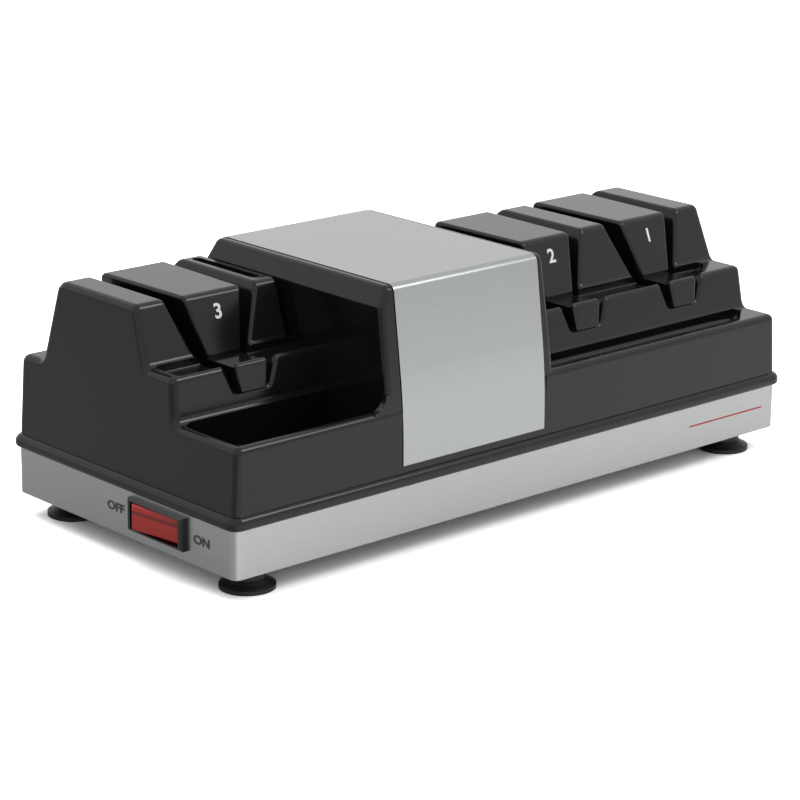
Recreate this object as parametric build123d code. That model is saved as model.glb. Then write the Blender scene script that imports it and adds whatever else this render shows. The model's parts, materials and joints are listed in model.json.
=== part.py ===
from build123d import *
import math
import os

# Electric knife sharpener, three stages: coarse and fine on the right, strop on the left.
# Frame: origin on the bench under the middle of the base, +X to the right end,
# -Y to the front, +Z up. The on/off switch is on the left (-X) end.

# ---------------------------------------------------------------- driving sizes, mm
base_length = 325.0
base_depth = 149.2
base_height = 20.7
base_corner = 3.5
band_sheet = 1.2
band_return = 7.0

foot_height = 10.5
foot_radius = 11.8
foot_spacing_x = base_length - 37.0
foot_spacing_y = base_depth - 30.4

lip_height = 5.8
lip_proud = 2.2
lip_top_share = 0.55
lip_foot_share = 0.3
wall = 2.8
wall_inset = 0.2
wall_lean = 0.5
end_inset_foot = 0.2
end_inset_top = 4.6

# heights above the bottom of the base band
rim_height = 54.5
tray_floor_height = 35.0
low_trough_floor_height = 50.0
ledge_height = 73.7
trough_floor_height = 70.6
station_height = 98.4
box_height = 105.2
back_ledge_height = 61.8
channel_floor_height = 62.4
shaft_height = 52.0

# the knife channels
strop_x = -119.0
fine_x = 55.0
coarse_x = 118.2
channel_floor_half = 9.0
channel_top_half = 24.0
guide_top_half_front = 15.6
guide_top_half_back = 17.0
guide_ledge_half_front = 9.2
guide_ledge_half_back = 10.2
guide_floor_half = 7.3
guide_proud = 1.5

# the centre box and its cover
cover_left = -72.7
cover_right = 9.4
cover_sheet = 1.0
cover_proud = 0.3
cover_side_gap = 0.4
box_left_foot = -81.2
box_right_top = 13.5
box_right_foot = 15.9
box_foot_sunk = 6.0
box_left_shoulder = -80.3
box_shoulder_height = 97.0
box_left_rim = -76.0
box_front_top = -(base_depth / 2 - 7.7)
box_back_top = 44.6
box_back_foot = 56.0
box_knee_height = 53.5
box_knee_radius = 250.0
box_bend = 3.5
box_corner_round = 2.5
shoulder_round = 2.5
cover_foot_height = 29.4

# bends of the moulded housing, seen from the end
rim_bend = 3.0
riser_foot_bend = 3.5
front_foot_bend = 3.5
front_top_bend = 3.5
back_top_bend = 6.0
back_bend = 4.0
box_foot_bend = 2.5

# troughs, tray and rounding of the moulded housing
tray_left = -(base_length / 2 - 5.1)
tray_front = -(base_depth / 2 - 4.2)
tray_round = 5.0
tray_foot_round = 2.2
left_trough_end = -(base_length / 2 - 7.5)
right_trough_end = base_length / 2 - 10.5
trough_slant = 18.5
low_trough_end = base_length / 2 - 6.5
low_trough_slant = 15.5
low_trough_setback = 0.8
low_trough_margin = 2.5
tray_back_step = 1.0
trough_back_step = 0.6
trough_foot_round = 0.8
gap_left = -84.3
gap_lip_round = 0.6
trough_rim = 1.5
boss_trough_depth = 1.2
trough_round = 2.0
channel_foot_radius = 1.5
lip_round = 2.0
gusset_radius = 6.5
groove_x = -89.6
groove_front = 0.0
groove_back = 43.0
groove_width = 4.6
groove_depth = 2.0
end_round = 3.0
guide_round = 1.5
guide_foot_inset = 0.3
guide_foot_bend = 2.0
guide_back_bend = 3.5
guide_skirt = 12.0

# screws, bosses and magnets
screw_radius = 1.75
screw_clearance = 0.05
screw_head_radius = 3.2
screw_head = 1.1
screw_end = 1.0
head_round_share = 0.4
boss_radius = 4.5
boss_hole_depth = 14.0
boss_side_y = base_depth / 2 - 12.6
boss_xs = (-120.0, 50.0, 120.0)
guide_screw_radius = 1.5
guide_screw_head_radius = 2.8
guide_screw_head = 2.2
guide_screw_grip = 8.0
guide_screw_from_riser = 7.4
magnet_thickness = 3.0
magnet_height = 12.0
magnet_length = 32.0
magnet_above_floor = 22.0
seat_gap = 0.05

# the shaft and what it turns
shaft_radius = 4.0
shaft_y = 9.0
shaft_chamfer = 0.5
shaft_left = -(base_length / 2 - 16.5)
shaft_right = base_length / 2 - 9.5
bush_radius = 6.0
bush_length = 8.0
bush_clearance = 0.04
disc_radius = 24.0
disc_thickness = 5.0
disc_outer_face = 8.0
disc_bore_clearance = 0.05
disc_room = 1.2
dog_radius = 10.0
dog_pin_radius = 1.2
dog_clearance = 0.1
dog_flange_radius = 12.5
dog_flange_half = 1.0
spring_wire = 0.8
spring_mean_radius = 5.6
spring_turns = 3.0
spring_pocket_radius = 7.4
spring_pocket_depth = 2.5

motor_x = -24.0
motor_bracket_gap = 12.0
bracket_sheet = 2.5
bracket_foot = 14.0
bracket_screw_share = 0.62
bracket_screw_inset = 5.0
motor_bolt_offset = 27.0
motor_bolt_radius = 2.0
motor_bolt_head = 2.4
motor_nut = 2.8
motor_nut_share = 1.8
spacer_wall = 1.5
end_bracket_left_x = -(base_length / 2 - 22.5)
end_bracket_right_x = base_length / 2 - 15.5
end_bracket_width = 24.0
fan_x = -62.0
fan_radius = 25.0
fan_hub_radius = 7.0
fan_hub_length = 8.0
fan_blades = 9
fan_blade_sheet = 1.2
fan_blade_width = 11.0
fan_blade_root = 1.0
fan_blade_twist = 35.0
stator_length = 26.0
stator_half = 33.0
stator_bore = 20.0
stator_round = 5.0
rotor_gap = 0.5
winding_overhang = 9.0
winding_gap = 0.2
winding_round = 3.0
rotor_ring = 3.0
rotor_step = 1.5

# the switch on the left end
switch_y = -25.2
bezel_length = 36.6
bezel_height = 14.3
bezel_rise = 4.4
bezel_proud = 2.8
rocker_height = 11.2
rocker_radius = 15.6
rocker_face = 6.2
rocker_rest_angle = 7.0
rocker_gap = 0.35
rocker_back = 3.5
bezel_recess = 0.7
rocker_depth = 8.2
rocker_round = 0.8
pivot_radius = 1.0
bezel_chamfer = 0.9
bezel_sleeve = 6.5
switch_depth = 15.0
terminal_tab_length = 8.0
terminal_tab_pitch = 10.0
terminal_tab_width = 6.3
terminal_tab_sheet = 0.8
cut_out_half_length = 17.3
cut_out_half_height = 6.8

# feet, vents and small parts
foot_collar_radius = 9.0
foot_neck_radius = 7.4
foot_spigot_radius = 5.0
foot_screw_radius = 2.0
foot_head_radius = 3.6
foot_screw_head = 2.2
foot_head_z = 2.6
foot_head_room = 0.3
foot_collar_height = 2.4
foot_neck_top = 6.9
foot_neck_low = 4.6
foot_flare_z = 3.2
foot_flare_reach = 1.6
foot_edge = 1.8
foot_tread = 3.2
foot_recess = 1.2
foot_recess_slope = 1.4
nut_radius = 4.0
nut_height = 3.2
plate_gap = 0.3
vent_count = 11
vent_pitch = 6.5
vent_width = 3.0
vent_length = 46.0
vent_x = -62.0
vent_y = 9.0
cover_screw_radius = 1.5
cover_screw_head_radius = 3.0
cover_screw_head = 1.6
cover_screw_length = 8.0
cover_screw_inset = 9.0
cover_screw_share = 0.8
cover_back_gap = 3.0
gland_x = -105.0
gland_bore = 3.7
gland_neck_radius = 6.0
gland_flange_radius = 7.4
gland_flange = 2.3
gland_reach = 9.0
gland_chamfer = 0.8
gland_nut_height = 3.5
terminal_x = -100.0
terminal_y = 44.0
terminal_length = 32.0
terminal_depth = 16.0
terminal_height = 14.0
terminal_pitch = 10.0
terminal_hole = 2.0
terminal_floor = 5.0
terminal_round = 1.5

# disc details
disc_hub_radius = 8.6
disc_dish = 2.1
disc_land = 5.6
disc_rim = 2.0
disc_hub_slope = 1.0
dog_pin_reach = 6.4
ring_radius = 6.5
ring_half = 0.4
window_near = 22.0
window_far = 27.5
window_half = 13.0

# ---------------------------------------------------------------- levels and places
band_bottom = foot_height
band_top = band_bottom + base_height
lip_top = band_top + lip_height
rim_z = band_bottom + rim_height
tray_z = band_bottom + tray_floor_height
low_trough_z = band_bottom + low_trough_floor_height
ledge_z = band_bottom + ledge_height
trough_z = band_bottom + trough_floor_height
station_z = band_bottom + station_height
box_z = band_bottom + box_height
back_ledge_z = band_bottom + back_ledge_height
floor_z = band_bottom + channel_floor_height
shaft_z = band_bottom + shaft_height

box_knee_z = band_bottom + box_knee_height
box_shoulder_z = band_bottom + box_shoulder_height
cover_foot_z = band_bottom + cover_foot_height
trough_drop = ledge_z - trough_z
tray_drop = rim_z - tray_z
low_trough_drop = rim_z - low_trough_z
skirt = 12.0
edge_tolerance = 0.05

half_length = base_length / 2
half_depth = base_depth / 2
wall_half_length = half_length - end_inset_foot
wall_front_foot = -(half_depth - wall_inset)
wall_front_rim = wall_front_foot + wall_lean
wall_front_slope = wall_lean / (rim_z - band_top)
box_front_knee = wall_front_foot + wall_front_slope * (box_knee_z - band_top)
wall_back = half_depth - wall_inset
plate_bottom = band_bottom + band_sheet
plate_thickness = 2.0
plate_top = plate_bottom + plate_thickness

channel_slope = (channel_top_half - channel_floor_half) / (station_height - channel_floor_height)
channel_angle = math.degrees(math.atan(channel_slope))
relief_radius = disc_radius + disc_room
stage_centres = {"strop": strop_x, "fine": fine_x, "coarse": coarse_x}
boss_places = [(x, side * boss_side_y) for x in boss_xs for side in (-1, 1)]
guide_screw_hole = guide_screw_radius + screw_clearance
guide_kink_z = ledge_z + 0.4
foot_places = [(sx * foot_spacing_x / 2, sy * foot_spacing_y / 2) for sx in (-1, 1) for sy in (-1, 1)]
motor_left_x = motor_x - stator_length / 2 - motor_bracket_gap
motor_right_x = motor_x + stator_length / 2 + motor_bracket_gap
bracket_list = [
    (end_bracket_left_x, end_bracket_width, 1),
    (motor_left_x, 2 * stator_half, -1),
    (motor_right_x, 2 * stator_half, 1),
    (end_bracket_right_x, end_bracket_width, -1),
]
spring_pocket_floor = disc_outer_face - disc_thickness + spring_pocket_depth
bezel_front_x = -(half_length + bezel_proud)
bezel_back_x = -half_length + bezel_sleeve
switch_back_x = bezel_back_x + switch_depth
switch_z = band_bottom + bezel_rise + bezel_height / 2
pivot_x = bezel_front_x + bezel_recess + rocker_face
gland_z = band_bottom + base_height / 2


class Station:
    """The front-to-back outline of one sharpening station."""

    def __init__(self, front_top, front_foot, riser_top, riser_foot, back_top, back_foot):
        self.front_top = front_top
        self.front_foot = front_foot
        self.riser_top = riser_top
        self.riser_foot = riser_foot
        self.back_top = back_top
        self.back_foot = back_foot

    def corners(self, ledge_drop=0.0, rim_drop=0.0, foot_drop=0.0):
        """Corners (y, z, radius) of the outline, clockwise from the front foot."""
        return [
            (wall_front_foot, band_top - foot_drop, 0),
            (wall_front_rim, rim_z - rim_drop, rim_bend),
            (self.riser_foot, rim_z - rim_drop, riser_foot_bend),
            (self.riser_top, ledge_z - ledge_drop, rim_bend),
            (self.front_foot, ledge_z - ledge_drop, front_foot_bend),
            (self.front_top, station_z, front_top_bend),
            (self.back_top, station_z, back_top_bend),
            (self.back_foot, back_ledge_z, back_bend),
            (wall_back - wall_lean, back_ledge_z, back_bend),
            (wall_back, band_top - foot_drop, 0),
        ]


left_station = Station(-5.0, -13.0, -31.0, -33.6, 48.8, 58.5)
right_station = Station(-25.4, -35.4, -52.3, -55.4, 28.5, 41.0)
stations = {"strop": left_station, "fine": right_station, "coarse": right_station}


# ---------------------------------------------------------------- shape helpers
def outline(plane, corners):
    """A closed face on a plane from (u, v, radius) corners."""
    points = [(u, v) for u, v, _ in corners]
    face = plane * make_face(Polyline(*points, close=True))
    for u, v, radius in corners:
        if radius > 0:
            where = plane.from_local_coords((u, v))
            corner = face.vertices().sort_by_distance(where)[0]
            face = fillet(corner, radius)
    return face


YZ = Plane(origin=(0, 0, 0), x_dir=(0, 1, 0), z_dir=(1, 0, 0))
XZ = Plane(origin=(0, 0, 0), x_dir=(1, 0, 0), z_dir=(0, -1, 0))


def along_x(face, x0, x1):
    return Pos(x0, 0, 0) * extrude(face, x1 - x0, dir=(1, 0, 0))


def along_y(face, y0, y1):
    return Pos(0, y0, 0) * extrude(face, y1 - y0, dir=(0, 1, 0))


def block(x0, x1, y0, y1, z0, z1):
    size = (x1 - x0, y1 - y0, z1 - z0)
    centre = ((x0 + x1) / 2, (y0 + y1) / 2, (z0 + z1) / 2)
    return Pos(*centre) * Box(*size)


def soft_block(x0, x1, y0, y1, z0, z1, side, foot=0.0):
    """A block with rounded upright edges and, if asked, a rounded foot."""
    body = block(x0, x1, y0, y1, z0, z1)
    body = fillet(body.edges().filter_by(Axis.Z), side)
    if foot > 0:
        body = fillet(body.faces().sort_by(Axis.Z)[0].edges(), foot)
    return body


def rod_x(x0, x1, y, z, radius):
    return Pos((x0 + x1) / 2, y, z) * Rot(0, 90, 0) * Cylinder(radius, x1 - x0)


def rod_z(x, y, z0, z1, radius):
    return Pos(x, y, (z0 + z1) / 2) * Cylinder(radius, z1 - z0)


def save(name, shape):
    """Write one node: a solid, or a group of separate solids."""
    pieces = shape if isinstance(shape, list) else [shape]
    solids = [s for piece in pieces for s in piece.solids()]
    out = solids[0] if len(solids) == 1 else Compound(children=solids)
    export_step(out, f"parts/{name}.step")
    print(name, len(solids), round(sum(s.volume for s in solids), 1))


def rod_y(x, y0, y1, z, radius):
    return Pos(x, (y0 + y1) / 2, z) * Rot(90, 0, 0) * Cylinder(radius, y1 - y0)


def spun_x(profile, y, z):
    """Revolve (x, radius) points about an axis along X through (y, z)."""
    points = [(x, r) for x, r in profile]
    face = Plane.XY * make_face(Polyline(*points, close=True))
    return Pos(0, y, z) * revolve(face, Axis.X, 360)


def spun_z(profile, x, y):
    """Revolve (radius, z) points about an upright axis through (x, y)."""
    face = XZ * make_face(Polyline(*profile, close=True))
    return Pos(x, y, 0) * revolve(face, Axis.Z, 360)


def cut_all(body, tools):
    for tool in tools:
        body = body - tool
    return body


def channel_half(z):
    """Half width of a knife channel at height z."""
    return channel_floor_half + channel_slope * (z - floor_z)


# ---------------------------------------------------------------- upper housing
def channel(centre, grow=0.0):
    """The V that one stage's channel cuts through a station, grown by a wall."""
    low = floor_z - grow
    high = station_z + 12.0
    spread = grow / math.cos(math.radians(channel_angle))
    low_half = channel_half(low) + spread
    high_half = channel_half(high) + spread
    foot = channel_foot_radius if grow == 0 else 0
    corners = [
        (centre - low_half, low, foot),
        (centre - high_half, high, 0),
        (centre + high_half, high, 0),
        (centre + low_half, low, foot),
    ]
    return along_y(outline(XZ, corners), -base_depth, base_depth)


def end_taper(side, inner_x, inset=0.0):
    """The region inside one leaning end wall, from the wall to inner_x."""
    low = band_top - skirt
    high = station_z + skirt
    lean = (end_inset_top - end_inset_foot) / (station_z - band_top)
    x_low = wall_half_length - inset + lean * skirt
    x_high = wall_half_length - inset - lean * (high - band_top)
    corners = [(side * x_low, low, 0), (side * x_high, high, 0), (inner_x, high, 0), (inner_x, low, 0)]
    return along_y(outline(XZ, corners), -base_depth, base_depth)


def on_channel_wall(edge, centre):
    middle = edge.center()
    off_wall = abs(abs(middle.X - centre) - channel_half(middle.Z))
    return off_wall < edge_tolerance and middle.Z > floor_z + 2 * channel_foot_radius


def station_body(station, side, inner_x, centres):
    """One station: rounded outline, leaning end wall and knife channels."""
    outer_x = side * half_length
    body = along_x(outline(YZ, station.corners()), min(outer_x, inner_x), max(outer_x, inner_x))
    body = body & end_taper(side, inner_x)
    end = body.faces().sort_by(Axis.X)[0 if side < 0 else -1]
    outer_edges = [e for e in end.edges() if e.center().Z > band_top + edge_tolerance]
    body = fillet(outer_edges, end_round)
    for centre in centres:
        body = body - channel(centre)
        lips = [e for e in body.edges() if on_channel_wall(e, centre)]
        body = fillet(lips, lip_round)
    return body


def box_outline_yz(grow=0.0, drop=0.0):
    corners = [
        (wall_front_foot, band_top - drop, 0),
        (box_front_knee, box_knee_z, box_knee_radius),
        (box_front_top, box_z, box_bend),
        (box_back_top, box_z, box_bend),
        (box_back_foot, back_ledge_z, box_foot_bend),
        (wall_back - wall_lean, back_ledge_z, rim_bend),
        (wall_back, band_top - drop, 0),
    ]
    face = outline(YZ, corners)
    if grow != 0:
        face = offset(face, amount=grow, kind=Kind.INTERSECTION)
    return face


def box_outline_xz(drop=0.0):
    corners = [
        (box_left_foot, band_top - drop, 0),
        (box_left_shoulder, box_shoulder_z, 0),
        (box_left_rim, box_z, 0),
        (box_right_top, box_z, 0),
        (box_right_foot, rim_z - box_foot_sunk, 0),
        (box_right_foot, band_top - drop, 0),
    ]
    return outline(XZ, corners)


def centre_box():
    body = along_x(box_outline_yz(), box_left_foot, box_right_foot)
    body = body & along_y(box_outline_xz(), -base_depth, base_depth)
    front = [e for e in body.edges() if is_box_front_corner(e)]
    body = fillet(front, box_corner_round)
    shoulders = [e for e in body.edges() if is_box_shoulder(e)]
    return fillet(shoulders, shoulder_round)


def is_box_front_corner(edge):
    """Upright edges where the box's front meets its two sides."""
    size = edge.bounding_box().size
    middle = edge.center()
    upright = size.Z > 3 * size.X and size.Z > shoulder_round
    exposed = band_top + 1 < middle.Z < box_shoulder_z if middle.X < 0 else middle.Z > rim_z
    return upright and exposed and middle.Y < box_front_top


def is_box_shoulder(edge):
    """Long front-to-back edges at the top of the box's two sides."""
    size = edge.bounding_box().size
    return size.Y > half_depth and edge.center().Z > box_shoulder_z - edge_tolerance


def cavity():
    """The room inside the housing, open at the bottom."""
    low_left = offset(outline(YZ, left_station.corners(trough_drop, tray_drop, skirt)),
                      amount=-wall, kind=Kind.INTERSECTION)
    low_right = offset(outline(YZ, right_station.corners(trough_drop, low_trough_drop, skirt)),
                       amount=-wall, kind=Kind.INTERSECTION)
    left = along_x(low_left, -half_length, box_left_foot + 2 * wall) & end_taper(-1, 0, wall)
    right = along_x(low_right, box_right_top - 2 * wall, half_length) & end_taper(1, 0, wall)
    left = left - channel(strop_x, wall)
    left = left - block(gap_left - wall, 0, -base_depth, base_depth, ledge_z - wall, 2 * station_z)
    right = right - channel(fine_x, wall) - channel(coarse_x, wall)
    box_side = offset(box_outline_xz(skirt), amount=-wall, kind=Kind.INTERSECTION)
    box = along_x(box_outline_yz(-wall, skirt), box_left_foot, box_right_foot)
    box = box & along_y(box_side, -base_depth, base_depth)
    return [left, right, box]


def disc_relief(centre, half):
    return rod_x(centre - half, centre + half, shaft_y, shaft_z, relief_radius)


def lip():
    x = half_length + lip_proud
    y = half_depth + lip_proud
    body = block(-x, x, -y, y, band_top, lip_top)
    body = fillet(body.edges().filter_by(Axis.Z), base_corner + lip_proud)
    body = fillet(body.faces().sort_by(Axis.Z)[-1].edges(), lip_height * lip_top_share)
    return fillet(body.faces().sort_by(Axis.Z)[0].edges(), lip_height * lip_foot_share)


def tray_gusset():
    """The rounded inner corner where the tray's front rim meets the centre box."""
    x = box_left_foot - gusset_radius
    body = along_x(box_outline_yz(), x, box_left_foot + wall)
    body = body & block(x, box_left_foot + wall, -base_depth, tray_front, rim_z - wall,
                        rim_z + gusset_radius)
    return body - rod_y(x, -base_depth, 0, rim_z + gusset_radius, gusset_radius)


def strop_groove():
    """A closed-ended groove along the narrow top between the strop slot and the box."""
    slot = SlotOverall(groove_back - groove_front, groove_width)
    middle = (groove_front + groove_back) / 2
    plane = Plane(origin=(groove_x, middle, station_z - groove_depth), x_dir=(0, 1, 0), z_dir=(0, 0, 1))
    return extrude(plane * slot, 4 * groove_depth, dir=(0, 0, 1))


def pocket(corners, floor, foot):
    """A pocket open at the top, from its (x, y, radius) corners in plan."""
    body = Pos(0, 0, floor) * extrude(outline(Plane.XY, corners), station_z)
    return fillet(body.faces().sort_by(Axis.Z)[0].edges(), foot)


def tray():
    """The deep tray in front of the strop station."""
    right = box_left_foot + 4 * wall
    back = left_station.riser_foot - tray_back_step
    corners = [(tray_left, tray_front, tray_round), (right, tray_front, 0),
               (right, back, 0), (tray_left, back, tray_round)]
    return pocket(corners, tray_z, tray_foot_round)


def left_trough():
    """The shallow trough along the strop station's ledge."""
    right = box_left_foot + 4 * wall
    front = left_station.riser_top + trough_rim
    back = left_station.front_foot - trough_back_step
    corners = [(left_trough_end, front, trough_round), (right, front, 0),
               (right, back, 0), (left_trough_end, back, trough_round)]
    return pocket(corners, trough_z, trough_foot_round)


def right_trough():
    """The trough along the right station's ledge; its right end is cut slanting."""
    front = right_station.riser_top + trough_rim
    back = right_station.front_foot - trough_back_step
    corners = [(box_right_top, front, 0), (right_trough_end - trough_slant, front, trough_round),
               (right_trough_end, back, trough_round), (box_right_top, back, 0)]
    return pocket(corners, trough_z, trough_foot_round)


def low_trough():
    """The trough along the right station's low rim; its right end is cut slanting."""
    front = tray_front + low_trough_setback
    back = right_station.riser_foot - tray_back_step
    left = box_right_foot + low_trough_margin
    corners = [(left, front, tray_round), (low_trough_end - low_trough_slant, front, tray_foot_round),
               (low_trough_end, back, tray_foot_round), (left, back, tray_foot_round)]
    return pocket(corners, low_trough_z, tray_foot_round)


def box_gap():
    """The narrow slot between the strop station's right block and the box."""
    return block(gap_left, box_left_foot + 4 * wall, -base_depth, base_depth, ledge_z, 2 * station_z)


def is_gap_lip(edge):
    """The outer edges of the block beside the gap, all round its outline."""
    middle = edge.center()
    return abs(middle.X - gap_left) < edge_tolerance and middle.Z > ledge_z + front_foot_bend


def upper_housing():
    left = station_body(left_station, -1, box_left_foot + 3 * wall, [strop_x])
    left = left - tray() - left_trough() - box_gap()
    left = fillet([e for e in left.edges() if is_gap_lip(e)], gap_lip_round)
    right = station_body(right_station, 1, box_right_top - wall, [fine_x, coarse_x])
    right = right - low_trough() - right_trough()
    body = left + right + centre_box() + tray_gusset() + lip()
    slot = cover_shell(cover_left - cover_side_gap, cover_right + cover_side_gap)
    body = cut_all(body, cavity() + [strop_groove(), slot])
    for x, y in boss_places:
        body = body + rod_z(x, y, plate_top, boss_top(x, y), boss_radius)
    for x, y in boss_places:
        body = body - rod_z(x, y, plate_top, plate_top + boss_hole_depth, screw_radius + screw_clearance)
    for name, centre in stage_centres.items():
        body = body - disc_relief(centre, channel_floor_half)
        for y in guide_screw_places(name):
            body = body - rod_z(centre, y, floor_z - 2 * wall, floor_z + wall, guide_screw_hole)
    return cut_all(body, cover_screw_holes())


def boss_top(x, y):
    """A boss ends inside the floor or ledge above it."""
    if y > 0:
        return back_ledge_z - wall / 2
    return (tray_z if x < 0 else low_trough_z) - wall / 2


def guide_screw_places(name):
    """The two y places of the screws that hold one guide block."""
    station = stations[name]
    front = station.riser_foot + guide_screw_from_riser
    back = (shaft_y + relief_radius + station.back_foot) / 2
    return (front, back)


# ---------------------------------------------------------------- steel cover
def cover_back_plane(x, share):
    """A plane on the cover's sloping back, share of the way down from the top."""
    dy = box_back_foot - box_back_top
    dz = back_ledge_z - box_z
    y = box_back_top + share * dy
    z = box_z + share * dz
    run = math.hypot(dy, dz)
    normal = (0, -dz / run, dy / run)
    return Plane(origin=(x, y, z), x_dir=(1, 0, 0), z_dir=normal)


def cover_screw_planes():
    middle = (cover_left + cover_right) / 2
    reach = (cover_right - cover_left) / 2 - cover_screw_inset
    return [cover_back_plane(middle + side * reach, cover_screw_share) for side in (-1, 1)]


def cover_screw_holes():
    radius = cover_screw_radius + screw_clearance
    return [plane * Cylinder(radius, 4 * wall) for plane in cover_screw_planes()]


def cover_shell(x0, x1):
    """The sheet's thickness over the box, from the front foot to the back foot."""
    outer = along_x(box_outline_yz(cover_proud), x0, x1)
    inner = along_x(box_outline_yz(cover_proud - cover_sheet), x0 - 1, x1 + 1)
    low_front = block(x0 - 1, x1 + 1, -base_depth, 0, 0, cover_foot_z)
    low_back = block(x0 - 1, x1 + 1, 0, base_depth, 0, back_ledge_z + cover_back_gap)
    return cut_all(outer - inner, [low_front, low_back])


def centre_cover():
    return cut_all(cover_shell(cover_left, cover_right), cover_screw_holes())


def cover_screws():
    screws = []
    for plane in cover_screw_planes():
        head = Cylinder(cover_screw_head_radius, cover_screw_head)
        head = Pos(0, 0, cover_proud + cover_screw_head / 2) * head
        head = fillet(head.edges().sort_by(Axis.Z)[-1], cover_screw_head * head_round_share)
        shank = Cylinder(cover_screw_radius, cover_screw_length)
        shank = Pos(0, 0, cover_proud - cover_screw_length / 2) * shank
        screws.append(plane * (head + shank))
    return screws


# ---------------------------------------------------------------- steel base
def base_band():
    outer = block(-half_length, half_length, -half_depth, half_depth, band_bottom, band_top)
    outer = fillet(outer.edges().filter_by(Axis.Z), base_corner)
    x, y = half_length - band_sheet, half_depth - band_sheet
    inner = soft_block(-x, x, -y, y, plate_bottom, band_top + 1, base_corner - band_sheet)
    x, y = half_length - band_return, half_depth - band_return
    opening = soft_block(-x, x, -y, y, band_bottom - 1, band_top, base_corner)
    cut_out = block(-half_length - 1, -half_length + band_return,
                    switch_y - cut_out_half_length, switch_y + cut_out_half_length,
                    switch_z - cut_out_half_height, switch_z + cut_out_half_height)
    gland_hole = rod_y(gland_x, half_depth - 2 * band_sheet, half_depth + 1, gland_z, gland_neck_radius)
    foot_holes = [rod_z(x, y, band_bottom - 1, plate_top, foot_spigot_radius) for x, y in foot_places]
    return cut_all(outer, [inner, opening, cut_out, gland_hole] + foot_holes)


def bottom_plate():
    x, y = half_length - band_sheet - plate_gap, half_depth - band_sheet - plate_gap
    body = soft_block(-x, x, -y, y, plate_bottom, plate_top, base_corner - band_sheet)
    drilled = [(place, foot_screw_radius) for place in foot_places]
    drilled += [(place, screw_radius) for place in boss_places + bracket_screw_places()]
    holes = [rod_z(px, py, band_bottom, plate_top + 1, r + screw_clearance) for (px, py), r in drilled]
    slot = SlotOverall(vent_length, vent_width)
    for row in range(vent_count):
        px = vent_x + (row - (vent_count - 1) / 2) * vent_pitch
        cut = Pos(px, vent_y, plate_bottom - 1) * Rot(0, 0, 90) * extrude(slot, 4 * plate_thickness)
        holes.append(cut)
    return cut_all(body, holes)


def foot(x, y):
    """A flared rubber foot with a recess underneath and a spigot into the plate."""
    seat_z = foot_head_z + foot_screw_head
    recess_radius = foot_head_radius + foot_head_room
    profile = [
        (foot_screw_radius + screw_clearance, seat_z),
        (foot_screw_radius + screw_clearance, plate_bottom),
        (foot_spigot_radius, plate_bottom),
        (foot_spigot_radius, foot_height),
        (foot_collar_radius, foot_height),
        (foot_collar_radius, foot_height - foot_collar_height),
        (foot_neck_radius, foot_neck_top),
        (foot_neck_radius, foot_neck_low),
        (foot_neck_radius + foot_flare_reach, foot_flare_z),
        (foot_radius, foot_edge),
        (foot_radius, 0),
        (foot_radius - foot_tread, 0),
        (foot_radius - foot_tread - foot_recess_slope, foot_recess),
        (recess_radius, foot_recess),
        (recess_radius, seat_z),
    ]
    return spun_z(profile, x, y)


def foot_screw(x, y):
    head = rod_z(x, y, foot_head_z, foot_head_z + foot_screw_head, foot_head_radius)
    head = fillet(head.edges().sort_by(Axis.Z)[0], foot_screw_head * head_round_share)
    shank = rod_z(x, y, foot_head_z + foot_screw_head, plate_top + nut_height + screw_end, foot_screw_radius)
    return head + shank


def foot_nut(x, y):
    hexagon = RegularPolygon(nut_radius, 6)
    body = Pos(x, y, plate_top) * extrude(hexagon, nut_height)
    return body - rod_z(x, y, plate_top - 1, plate_top + nut_height + 1, foot_screw_radius)


def plate_screw(x, y, reach):
    head = rod_z(x, y, plate_bottom - screw_head, plate_bottom, screw_head_radius)
    return head + rod_z(x, y, plate_bottom, plate_top + reach, screw_radius)


def cord_gland():
    """A flanged bush through the back of the band; the cord's way in."""
    inside = half_depth - band_sheet
    profile = [
        (gland_bore, inside - gland_reach),
        (gland_neck_radius, inside - gland_reach),
        (gland_neck_radius, half_depth),
        (gland_flange_radius, half_depth),
        (gland_flange_radius, half_depth + gland_flange - gland_chamfer),
        (gland_flange_radius - gland_chamfer, half_depth + gland_flange),
        (gland_bore, half_depth + gland_flange),
    ]
    face = Plane.XY * make_face(Polyline(*profile, close=True))
    return Pos(gland_x, 0, gland_z) * revolve(face, Axis.Y, 360)


def gland_nut():
    inside = half_depth - band_sheet
    hexagon = RegularPolygon(gland_flange_radius, 6)
    body = Pos(gland_x, inside, gland_z) * Rot(90, 0, 0) * extrude(hexagon, gland_nut_height)
    return body - rod_y(gland_x, inside - 2 * gland_nut_height, inside + 1, gland_z, gland_neck_radius)


def terminal_block():
    half_x, half_y = terminal_length / 2, terminal_depth / 2
    top = plate_top + terminal_height
    body = soft_block(terminal_x - half_x, terminal_x + half_x, terminal_y - half_y, terminal_y + half_y,
                      plate_top, top, terminal_round)
    for step in (-1, 0, 1):
        for row in (-1, 1):
            x = terminal_x + terminal_pitch * step
            y = terminal_y + row * half_y / 2
            body = body - rod_z(x, y, plate_top + terminal_floor, top + 1, terminal_hole)
    return body


# ---------------------------------------------------------------- guide blocks
def guide_half(z, share):
    """Half width of a guide block at height z, share of the way to its back."""
    top = guide_top_half_front + share * (guide_top_half_back - guide_top_half_front)
    low = guide_ledge_half_front + share * (guide_ledge_half_back - guide_ledge_half_front)
    rise = (z - ledge_z) / (station_z - ledge_z)
    return low + rise * (top - low)


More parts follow.
